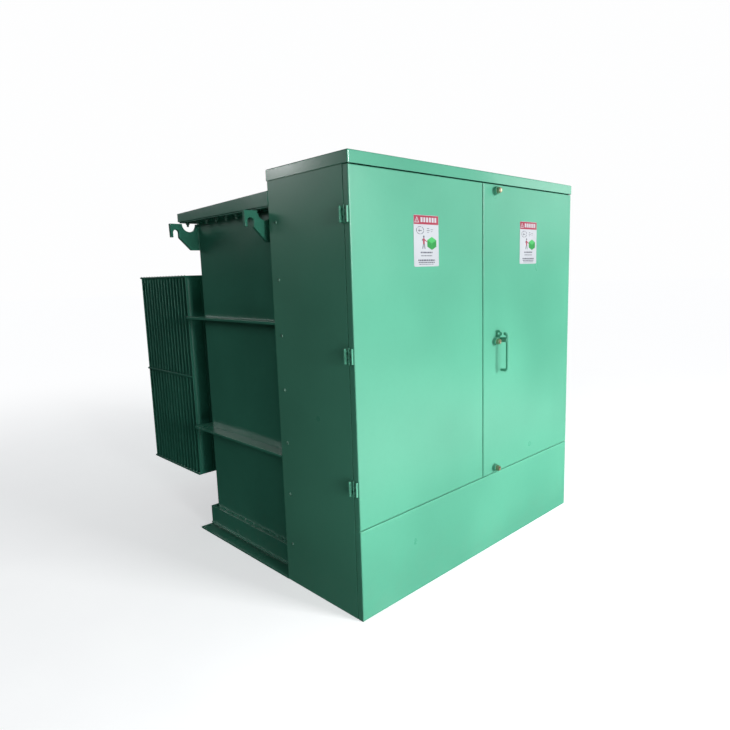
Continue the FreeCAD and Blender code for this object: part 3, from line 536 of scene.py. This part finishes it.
def make_label(name, node, body):
    """plain notice: red band with blank blocks, a ring and strokes, a figure by a box, and bars for text"""
    lo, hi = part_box(node)
    s = Shape()
    cx, cz = (lo.x + hi.x) / 2, (lo.z + hi.z) / 2
    w, h, r = (hi.x - lo.x) / 2, (hi.z - lo.z) / 2, 0.006
    rim = []
    for qx, qz, a0 in ((1, 1, 0), (-1, 1, 90), (-1, -1, 180), (1, -1, 270)):
        for k in range(5):
            a = math.radians(a0 + 22.5 * k)
            rim.append((cx + qx * (w - r) + r * math.cos(a), cz + qz * (h - r) + r * math.sin(a)))
    n = len(rim)
    rows = [[(x, hi.y, z) for x, z in rim], [(x, lo.y + 0.0002, z) for x, z in rim],
            [(cx + (x - cx) * 0.9975, lo.y, cz + (z - cz) * 0.9975) for x, z in rim]]
    faces = [tuple(range(n)), tuple(2 * n + i for i in reversed(range(n)))]
    for k in (0, 1):
        faces += [(k * n + i, (k + 1) * n + i, (k + 1) * n + (i + 1) % n, k * n + (i + 1) % n) for i in range(n)]
    s.add([p for row in rows for p in row], faces, 0)

    def patch(x0, x1, z0, z1, mat, layer=1):
        y = lo.y - 0.00012 * layer
        s.slab((cx + x0, y, cz + z0), (cx + x1, lo.y + 0.0001, cz + z1), 0.0, mat)

    def flat(points, mat, layer=1):
        y = lo.y - 0.00012 * layer
        m = len(points)
        v = [(cx + x, y, cz + z) for x, z in points] + [(cx + x, lo.y + 0.0001, cz + z) for x, z in points]
        s.add(v, [tuple(range(m)), tuple(m + i for i in reversed(range(m)))] +
              [(i, m + i, m + (i + 1) % m, (i + 1) % m) for i in range(m)], mat)

    patch(-0.0785, 0.0785, 0.0675, 0.1035, 1)
    x = -0.036
    for wide in (0.0160, 0.0150, 0.0165, 0.0150, 0.0160, 0.0150):
        patch(x, x + wide - 0.0035, 0.0765, 0.0960, 0, 2)
        x += wide + 0.0022
    flat([(-0.0745, 0.0745), (-0.0445, 0.0745), (-0.0595, 0.0985)], 0, 2)
    flat([(-0.0700, 0.0770), (-0.0490, 0.0770), (-0.0595, 0.0937)], 1, 3)
    flat([(-0.0606, 0.0795), (-0.0584, 0.0795), (-0.0582, 0.0890), (-0.0608, 0.0890)], 0, 4)
    m = 30
    for k in range(m):
        if k % 6 == 5:
            continue
        a0, a1 = 2 * math.pi * k / m, 2 * math.pi * (k + 1) / m
        flat([(-0.040 + 0.0250 * f * math.cos(a), 0.0430 + 0.0160 * f * math.sin(a)) for f, a in ((1, a0), (1, a1), (0.86, a1), (0.86, a0))], 2)
    for x0, x1, z0, z1 in ((-0.052, -0.030, 0.0405, 0.0435), (-0.047, -0.044, 0.036, 0.050), (0.004, 0.018, 0.0500, 0.0525), (0.002, 0.022, 0.0420, 0.0442),
                           (0.005, 0.017, 0.0345, 0.0365), (0.027, 0.044, 0.0460, 0.0480), (0.029, 0.040, 0.0385, 0.0402)):
        patch(x0, x1, z0, z1, 2)
    # figure: head, trunk, arm and legs, mostly red
    flat([(-0.0170 + 0.0052 * math.cos(math.pi * k / 6), 0.0175 + 0.0052 * math.sin(math.pi * k / 6)) for k in range(12)], 2)
    flat([(-0.0225, 0.0110), (-0.0125, 0.0110), (-0.0115, -0.0120), (-0.0220, -0.0120)], 1)
    flat([(-0.0130, 0.0085), (0.0040, -0.0010), (0.0030, -0.0048), (-0.0130, 0.0030)], 1)
    flat([(-0.0220, -0.0120), (-0.0170, -0.0120), (-0.0225, -0.0320), (-0.0275, -0.0320)], 2)
    flat([(-0.0165, -0.0120), (-0.0115, -0.0120), (-0.0075, -0.0320), (-0.0125, -0.0320)], 2)
    flat([(-0.0300, 0.0040), (-0.0225, 0.0100), (-0.0225, 0.0050), (-0.0275, -0.0010)], 2)
    c = (0.0345, -0.0095)
    hexa = [(c[0] + 0.0345 * math.cos(math.pi / 6 + math.pi * k / 3), c[1] + 0.0270 * math.sin(math.pi / 6 + math.pi * k / 3)) for k in range(6)]
    flat([hexa[0], hexa[1], hexa[2], c], 4)
    flat([hexa[2], hexa[3], hexa[4], c], 3)
    flat([hexa[4], hexa[5], hexa[0], c], 3)
    flat([(hexa[4][0] - 0.0009, hexa[4][1]), (hexa[4][0] + 0.0009, hexa[4][1]), (c[0] + 0.0009, c[1]), (c[0] - 0.0009, c[1])], 4, 2)
    for row, half, tall in ((-0.0470, 0.0380, 0.0062), (-0.0605, 0.0350, 0.0036), (-0.0790, 0.0540, 0.0062), (-0.0880, 0.0520, 0.0042), (-0.0955, 0.0480, 0.0026)):
        x = -half
        while x < half - 0.003:
            l = min(rng.uniform(0.006, 0.016), half - x)
            patch(x, x + l, row - tall / 2, row + tall / 2, 2)
            x += l + 0.0022
    piece(name, s, body, [M["label"], LABEL_RED, LABEL_GREY, LABEL_GREEN, LABEL_LEAF], [node])


make_label("left_label_print", "left_label_plate", "left_door")
make_label("right_label_print", "right_label_plate", "right_door")

# ---------------------------------------------------------------- bolts and screws
for which, z in (("bottom", 0.419), ("middle", 1.060), ("top", 1.773)):
    s = Shape()
    x = 0.0965
    s.poly_head((x, Y0 - 0.0152, z), (0, -1, 0), 0.0288, 0.0168, 5, 0.0026, 0, rng.random(), 0.0014)
    s.lathe([(0, -0.0155), (0.0062, -0.0155), (0.0118, -0.0152), (0.0142, -0.0146), (0.0145, -0.0136), (0.0140, -0.0126), (0.0066, -0.0122), (0.0060, -0.0110),
             (0.0060, 0.004)] + [(0.0060 - 0.0006 * (k % 2), 0.004 + 0.00085 * k) for k in range(1, 18)] + [(0.0048, 0.0198), (0.0040, 0.0208), (0, 0.0210)],
            (x, Y0, z), (0, 1, 0), 36, 0)
    piece(which + "_security_bolt_detail", s, which + "_security_bolt", [M["brass"]], [which + "_security_bolt"])

s = Shape()
for z in (0.419, 1.060, 1.773):
    s.ring_bead((0.0965, Y0 - 0.0004, z), (0, 1, 0), 0.0196, 0.0017)
for dx in (0.108, 0.114):
    s.bead((dx, Y0 - 0.0004, 1.083), (dx, Y0 - 0.0004, 1.111), 0.0016, 0.002)
piece("door_fitting_welds", s, "right_door", [M["cabinet_paint"]])

s = Shape()
for i in range(7):
    z = 0.190 + 0.2403 * i
    for sx in (-1, 1):
        o = (sx * HALF, Y0 + 0.460, z)
        ax = (sx, 0, 0)
        s.lathe([(0, 0.0024), (0.0019, 0.0022), (0.0022, 0.0022), (0.0026, 0.00385), (0.0042, 0.0034), (0.0055, 0.0024), (0.0062, 0.0011),
                 (0.0062, 0.0007), (0.0076, 0.0006), (0.0077, 0.0), (0.004, -0.0002), (0.004, -0.016), (0, -0.016)], o, ax, 28, 0)
# screw heads take full edge lightening: partly wear, partly a painted highlight on their rims
SCREW_COAT = paint("screw_paint_coat", (0.16, 0.36, 0.27), rough=0.34, waves=0.05, dust=0.0, wear_and_highlight=1.0)
piece("panel_screws_detail", s, "root", [SCREW_COAT], ["side_panel_screws"])

s = Shape()
spots = [(sx * (TX + 0.036), Y0 + y) for y in [0.540 + 0.091 * i for i in range(8)] + [1.288] for sx in (-1, 1)]
spots += [(-0.720 + 0.090 * i, TANK_REAR + 0.036) for i in range(17)]
for x, y in spots:
    s.lathe([(0, 1.7004), (0.0135, 1.7004), (0.0138, 1.6998), (0.0138, 1.6984), (0.0132, 1.6979), (0.006, 1.6979)], (x, y, 0), (0, 0, 1), 28, 0)
    s.poly_head((x, y, 1.6980), (0, 0, -1), 0.0208, 0.0085, 6, 0.0014, 0, rng.random() * 1.04, 0.0002)
    s.lathe([(0.0060, 1.6900)] + [(0.0060 - 0.0006 * (k % 2), 1.6890 - 0.0009 * k) for k in range(11)] + [(0.0046, 1.6784), (0, 1.6781)], (x, y, 0), (0, 0, 1), 24, 0)
# cover bolts are painted much darker than the tank green: painted shade for the dark band under the cover lip
BOLT_SHADE_GREEN = paint("bolt_painted_shade_coat", (0.030, 0.110, 0.075), rough=0.42, waves=0.1, dust=0.1, wear_and_highlight=0.9)
piece("cover_bolts_detail", s, "root", [BOLT_SHADE_GREEN], ["tank_cover_bolts"])

# ---------------------------------------------------------------- welds
s = Shape()
ya, yb = Y0 + 0.5095, TANK_REAR - 0.036
for sx in (-1, 1):
    x = sx * TX
    for z in (0.588, 1.196):
        s.bead((x, ya, z + 0.012), (x, yb, z + 0.012), 0.0024)
        s.bead((x, ya, z), (x, yb, z), 0.0032)
    s.bead((x, ya, 1.700), (x, yb, 1.700), 0.0035)
    y = ya + 0.004
    while y < yb - 0.02:                         # stitched run on top of the skirt
        l = min(rng.uniform(0.034, 0.062), yb - y)
        s.bead((x + sx * 0.0005, y, 0.1345), (x + sx * 0.0005, y + l, 0.1345), rng.uniform(0.0042, 0.0056), 0.0030, 0.22)
        y += l + rng.uniform(0.006, 0.022)
    s.bead((sx * (TX + 0.020), ya, 0.0425), (sx * (TX + 0.020), TANK_REAR + 0.018, 0.0425), 0.0024)
    for hy in (Y0 + 0.557, Y0 + 0.573, Y0 + 1.247):
        s.bead((x, hy, 1.557), (x, hy, 1.688), 0.0042, 0.003, 0.16)
    s.bead((x, Y0 + 0.5055, 0.140), (x, Y0 + 0.5055, 1.698), 0.0045, 0.004, 0.12)
for z in (0.588, 1.196):
    s.bead((-TX + 0.036, TANK_REAR, z + 0.012), (TX - 0.036, TANK_REAR, z + 0.012), 0.0032)
    s.bead((-TX + 0.036, TANK_REAR, z), (TX - 0.036, TANK_REAR, z), 0.0040)
x = -TX + 0.04
while x < TX - 0.05:
    l = min(rng.uniform(0.034, 0.062), TX - 0.04 - x)
    s.bead((x, TANK_REAR + 0.0005, 0.1345), (x + l, TANK_REAR + 0.0005, 0.1345), rng.uniform(0.0042, 0.0056), 0.0030, 0.22)
    x += l + rng.uniform(0.006, 0.022)
for cx in (-0.5345, 0.0, 0.5345):
    for hz in (0.339, 1.364):
        s.ring_bead((cx, TANK_REAR + 0.0005, hz), (0, 1, 0), 0.0622, 0.0038, 0, 90)
        s.ring_bead((cx, TANK_REAR + 0.0885, hz), (0, 1, 0), 0.0440, 0.0034, 0, 70)
piece("tank_welds", s, "root", [M["tank_paint"]])

# ---------------------------------------------------------------- radiators
RAD_N, PITCH, RY0 = 16, 0.0381, Y0 + 1.440
RZ0, RZ1, RW = 0.275, 1.428, 0.480


def plate_grid():
    """columns across a panel and rows up it, closer where the pressing changes"""
    xs = [-RW / 2, -RW / 2 + 0.0012, -RW / 2 + 0.008, -RW / 2 + 0.013]
    n, edge = 6, 0.014
    pitch = (RW - 2 * edge) / n
    for i in range(n):
        x0 = -RW / 2 + edge + i * pitch
        for u in (0.0, 0.04, 0.10, 0.17, 0.26, 0.42, 0.58, 0.74, 0.83, 0.90, 0.96):
            xs.append(x0 + u * pitch)
    xs += [RW / 2 - edge, RW / 2 - 0.013, RW / 2 - 0.008, RW / 2 - 0.0012, RW / 2]
    zs = [0, 0.0012, 0.008, 0.013, 0.016, 0.021, 0.028, 0.036, 0.046, 0.060, 0.085, 0.110, 0.135, 0.18]
    H = RZ1 - RZ0
    zs = zs + [H * 0.33, H * 0.5, H * 0.67] + [H - z for z in reversed(zs)]
    return xs, zs, pitch, edge


def panel_half(x, z, pitch, edge):
    """half thickness of the pressed panel at a point"""
    H = RZ1 - RZ0
    dx, dz = RW / 2 - abs(x), min(z, H - z)
    d = min(dx, dz)
    if d < 0.0006:
        return 0.0011
    if d < 0.0135:
        return 0.0016
    u = ((x + RW / 2 - edge) / pitch) % 1.0
    flute = min(1.0, max(0.0, math.sin(math.pi * u))) ** 0.42
    ends = min(1.0, max(0.0, (dz - 0.0135) / 0.022))
    ends = math.sin(ends * math.pi / 2)
    t = 0.0018 + 0.0044 * flute * ends
    for hz in (0.339 - RZ0, 1.364 - RZ0):         # flat boss round the header
        r = math.hypot(x, z - hz)
        if r < 0.075:
            k = min(1.0, (0.075 - r) / 0.014)
            t = t * (1 - k) + 0.0058 * k
    return t


def make_bank(name, node, cx):
    xs, zs, pitch, edge = plate_grid()
    nx, nz = len(xs), len(zs)
    half = [[panel_half(x, z, pitch, edge) for x in xs] for z in zs]
    s = Shape()
    for k in range(RAD_N):
        y = RY0 + PITCH * k
        lean = [rng.uniform(-0.0006, 0.0006) for _ in range(2)]
        verts = []
        for sgn in (-1, 1):
            for j, z in enumerate(zs):
                off = lean[0] + (lean[1] - lean[0]) * j / (nz - 1)
                verts += [(cx + x, y + off + sgn * half[j][i], RZ0 + z) for i, x in enumerate(xs)]
        faces = []
        B = nx * nz
        for j in range(nz - 1):
            for i in range(nx - 1):
                a, b, c, d = j * nx + i, j * nx + i + 1, (j + 1) * nx + i + 1, (j + 1) * nx + i
                faces.append((a, b, c, d))
                faces.append((B + d, B + c, B + b, B + a))
        for i in range(nx - 1):
            faces.append((i + 1, i, B + i, B + i + 1))
            t = (nz - 1) * nx
            faces.append((t + i, t + i + 1, B + t + i + 1, B + t + i))
        for j in range(nz - 1):
            a, d = j * nx, (j + 1) * nx
            faces.append((a, d, B + d, B + a))
            a, d = j * nx + nx - 1, (j + 1) * nx + nx - 1
            faces.append((d, a, B + a, B + d))
        s.add(verts, faces)
    y_end = RY0 + PITCH * (RAD_N - 1) + 0.008
    for side in (-1, 1):
        xa = cx + side * RW / 2
        x0, x1 = (xa - 0.006, xa) if side < 0 else (xa, xa + 0.006)
        for zt in (RZ0, 0.852, RZ1 - 0.010):
            s.slab((x0, RY0 - 0.006, zt), (x1, y_end, zt + 0.010), 0.0016)
            for k in range(RAD_N):               # tack weld at each panel
                yy = RY0 + PITCH * k
                s.tube([(xa - side * 0.001, yy - 0.005, zt + 0.0102), (xa - side * 0.001, yy, zt + 0.0112), (xa - side * 0.001, yy + 0.005, zt + 0.0102)],
                       0.0022, 6, 0, [0.0012, 0.0026, 0.0012])
    piece(name, s, "root", [M["radiator_paint"]], [node], 28.0)


make_bank("left_radiator_pressings", "left_radiator_panels", -0.5345)
make_bank("center_radiator_pressings", "center_radiator_panels", 0.0)
make_bank("right_radiator_pressings", "right_radiator_panels", 0.5345)



# ---------------------------------------------------------------- terminal fittings
GAUGE_FACE = plastic("gauge_face", (0.62, 0.62, 0.58), 0.42, 0.4, 0.03)
INK = plastic("gauge_ink", (0.02, 0.02, 0.022), 0.5, 0.3, 0.05)
NEEDLE = plastic("gauge_needle", (0.45, 0.03, 0.02), 0.4, 0.5, 0.05)
PLATE_INK = plastic("nameplate_ink", (0.10, 0.105, 0.11), 0.5, 0.3, 0.05)

s = Shape()
for gx, gz, gr, low, high, span in ((0.270, 1.590, 0.052, 225, -45, 12), (0.410, 1.590, 0.045, 225, -45, 10), (0.540, 1.590, 0.035, 215, -35, 8)):
    yf = Y0 + 0.4585
    s.lathe([(gr - 0.0052, 0.0004), (gr - 0.0052, 0.0046), (gr - 0.0038, 0.0054), (gr - 0.0012, 0.0052), (gr + 0.0002, 0.0036), (gr + 0.0002, 0.0010)],
            (gx, yf + 0.0006, gz), (0, -1, 0), 56, 0)
    s.lathe([(0, 0.0), (gr - 0.0056, 0.0), (gr - 0.0056, 0.0006), (0, 0.0006)], (gx, yf, gz), (0, -1, 0), 56, 1)
    for k in range(span * 2 + 1):
        a = math.radians(low + (high - low) * k / (span * 2))
        long = k % 2 == 0
        r0, r1 = (gr - 0.0075), (gr - (0.0150 if long else 0.0115))
        w = 0.00055 if long else 0.00035
        d = Vector((math.cos(a), 0, math.sin(a)))
        t = Vector((-math.sin(a), 0, math.cos(a))) * w
        c = Vector((gx, yf, gz))
        q = [c + d * r0 + t, c + d * r0 - t, c + d * r1 - t, c + d * r1 + t]
        y0, y1 = yf - 0.0008, yf - 0.0003
        s.add([(p.x, y0, p.z) for p in q] + [(p.x, y1, p.z) for p in q], [(0, 1, 2, 3), (7, 6, 5, 4), (0, 4, 5, 1), (1, 5, 6, 2), (2, 6, 7, 3), (3, 7, 4, 0)], 2)
    a = math.radians(150 if gr > 0.04 else 120)
    d, t = Vector((math.cos(a), 0, math.sin(a))), Vector((-math.sin(a), 0, math.cos(a)))
    c = Vector((gx, yf, gz))
    q = [c + d * (gr - 0.011), c - d * 0.008 + t * 0.0014, c - d * 0.008 - t * 0.0014]
    y0, y1 = yf - 0.0022, yf - 0.0014
    s.add([(p.x, y0, p.z) for p in q] + [(p.x, y1, p.z) for p in q], [(0, 1, 2), (5, 4, 3), (0, 3, 4, 1), (1, 4, 5, 2), (2, 5, 3, 0)], 3)
    s.lathe([(0, 0.0034), (0.0022, 0.0032), (0.0032, 0.0022), (0.0032, 0.0004)], (gx, yf, gz), (0, -1, 0), 24, 0)
piece("gauge_faces_detail", s, "root", [M["gauge_black"], GAUGE_FACE, INK, NEEDLE])

s = Shape()
yp = Y0 + 0.4955
for sx, sz in ((-1, -1), (-1, 1), (1, -1), (1, 1)):
    s.lathe([(0, 0.0011), (0.0012, 0.0010), (0.0024, 0.0007), (0.0028, -0.0002)], (0.440 + sx * 0.083, yp, 1.375 + sz * 0.058), (0, -1, 0), 20, 0)
for k, (x0, x1) in enumerate(((0.372, 0.508), (0.366, 0.430), (0.366, 0.424), (0.366, 0.436), (0.366, 0.428), (0.366, 0.515), (0.366, 0.498))):
    z = 1.424 - 0.0148 * k
    s.slab((x0, yp - 0.0003, z - (0.0034 if k == 0 else 0.0019)), (x1, yp + 0.0001, z + (0.0034 if k == 0 else 0.0019)), 0, 1)
for x0, x1, z0, z1 in ((0.448, 0.516, 1.3505, 1.3515), (0.448, 0.516, 1.4080, 1.4090), (0.448, 0.449, 1.3505, 1.4090), (0.515, 0.516, 1.3505, 1.4090)):
    s.slab((x0, yp - 0.0003, z0), (x1, yp + 0.0001, z1), 0, 1)
for k in range(3):
    zc = 1.396 - 0.017 * k
    for i in range(9):
        s.lathe([(0, 0.0003), (0.0016, 0.0003), (0.0016, -0.0001)], (0.456 + 0.0065 * i, yp, zc + (0.002 if i % 2 else -0.002)), (0, -1, 0), 10, 1)
piece("nameplate_print", s, "root", [M["zinc_steel"], PLATE_INK])

s = Shape()
for bx, bz in ((-0.650, 1.170), (-0.510, 1.215), (-0.370, 1.170), (-0.650, 0.960), (-0.510, 1.005), (-0.370, 0.960)):
    for k in range(4):
        a = math.radians(45 + 90 * k)
        o = (bx + 0.0505 * math.cos(a), Y0 + 0.4852, bz + 0.0505 * math.sin(a))
        s.lathe([(0, 0.0012), (0.0068, 0.0012), (0.0072, 0.0008), (0.0072, 0)], o, (0, -1, 0), 24, 0)
        s.poly_head((o[0], o[1] - 0.0010, o[2]), (0, -1, 0), 0.0104, 0.0052, 6, 0.0008, 0, rng.random())
for bx, bz in ((0.190, 1.150), (0.340, 1.060), (0.490, 1.060), (0.640, 1.150)):
    for k in range(4):
        a = math.radians(45 + 90 * k)
        o = (bx + 0.0595 * math.cos(a), Y0 + 0.4852, bz + 0.0595 * math.sin(a))
        s.lathe([(0, 0.0012), (0.0076, 0.0012), (0.0080, 0.0008), (0.0080, 0)], o, (0, -1, 0), 24, 0)
        s.poly_head((o[0], o[1] - 0.0010, o[2]), (0, -1, 0), 0.0120, 0.0058, 6, 0.0009, 0, rng.random())
piece("bushing_flange_bolts", s, "root", [M["zinc_steel"]])

s = Shape()
for bx, bz in ((-0.650, 1.170), (-0.510, 1.215), (-0.370, 1.170), (-0.650, 0.960), (-0.510, 1.005), (-0.370, 0.960)):
    s.lathe([(0.0325, -0.0010), (0.0352, 0.0008), (0.0358, 0.0035), (0.0352, 0.0062), (0.0325, 0.0078)], (bx, Y0 + 0.4490, bz), (0, -1, 0), 48, 0)
    s.lathe([(0.0182, -0.0004), (0.0208, 0.0004), (0.0212, 0.0022), (0.0196, 0.0034), (0.0120, 0.0036), (0.0116, 0.0002)], (bx, Y0 + 0.3640, bz), (0, -1, 0), 48, 0)
for bx, bz in ((0.190, 1.150), (0.340, 1.060), (0.490, 1.060), (0.640, 1.150)):
    for k in range(4):
        rr = 0.0492 - 0.0026 * k
        s.lathe([(rr - 0.0035, -0.0030), (rr + 0.0018, -0.0012), (rr + 0.0024, 0.0006), (rr + 0.0010, 0.0020), (rr - 0.0040, 0.0028)],
                (bx, Y0 + 0.4780 - 0.0135 * k, bz), (0, -1, 0), 56, 0)
piece("bushing_skirts", s, "root", [M["epoxy"]])

s = Shape()
for bx in (-0.480, -0.350, -0.220):
    for k in range(3):
        a = math.radians(90 + 120 * k)
        s.poly_head((bx + 0.0335 * math.cos(a), Y0 + 0.4872, 1.500 + 0.0335 * math.sin(a)), (0, -1, 0), 0.0092, 0.0046, 6, 0.0007, 0, rng.random())
for gx in (-0.700, 0.560):
    for gz in (0.2375, 0.2825):
        s.lathe([(0, 0.0008), (0.0034, 0.0010), (0.0050, 0.0003), (0.0052, -0.0004)], (gx - 0.0185, Y0 + 0.4830, gz), (0, -1, 0), 20, 0)
piece("fuse_sleeve_screws", s, "root", [M["zinc_steel"]])

def make_floor():
    bm = bmesh.new()
    n = 48
    rings = [0.0, 3.0, 6.0, 12.0, 24.0, 60.0]
    prev = [bm.verts.new((0, 0, -0.0006))]
    for r in rings[1:]:
        ring = [bm.verts.new((r * math.cos(2 * math.pi * i / n), r * math.sin(2 * math.pi * i / n), -0.0006)) for i in range(n)]
        for i in range(n):
            j = (i + 1) % n
            if len(prev) == 1:
                bm.faces.new((prev[0], ring[i], ring[j]))
            else:
                bm.faces.new((prev[i], ring[i], ring[j], prev[j]))
        prev = ring
    me = bpy.data.meshes.new("studio_floor")
    bm.to_mesh(me)
    bm.free()
    ob = bpy.data.objects.new("studio_floor", me)
    scene.collection.objects.link(ob)
    m, nt, b = new_mat("floor_pale")
    tc = nt.nodes.new("ShaderNodeTexCoord")
    f = n_noise(nt, tc.outputs["Object"], 3.0, 4.0)
    near = n_mix(nt, n_range(nt, f, 0.3, 0.7), (0.79, 0.80, 0.81), (0.83, 0.84, 0.845))
    dist = nt.nodes.new("ShaderNodeVectorMath")
    dist.operation = "LENGTH"
    nt.links.new(tc.outputs["Object"], dist.inputs[0])
    far = n_range(nt, dist.outputs["Value"], 2.2, 7.0, 0.0, 1.0, True)
    nt.links.new(n_mix(nt, far, near, (0.01, 0.01, 0.01)), b.inputs["Base Color"])
    b.inputs["Emission Color"].default_value = (0.985, 0.99, 1.0, 1)
    nt.links.new(n_range(nt, far, 0.0, 1.0, 0.52, 0.99), b.inputs["Emission Strength"])
    b.inputs["Roughness"].default_value = 0.9
    b.inputs["Specular IOR Level"].default_value = 0.05
    me.materials.append(m)
    ob.visible_diffuse = False
    ob.visible_glossy = False


make_floor()
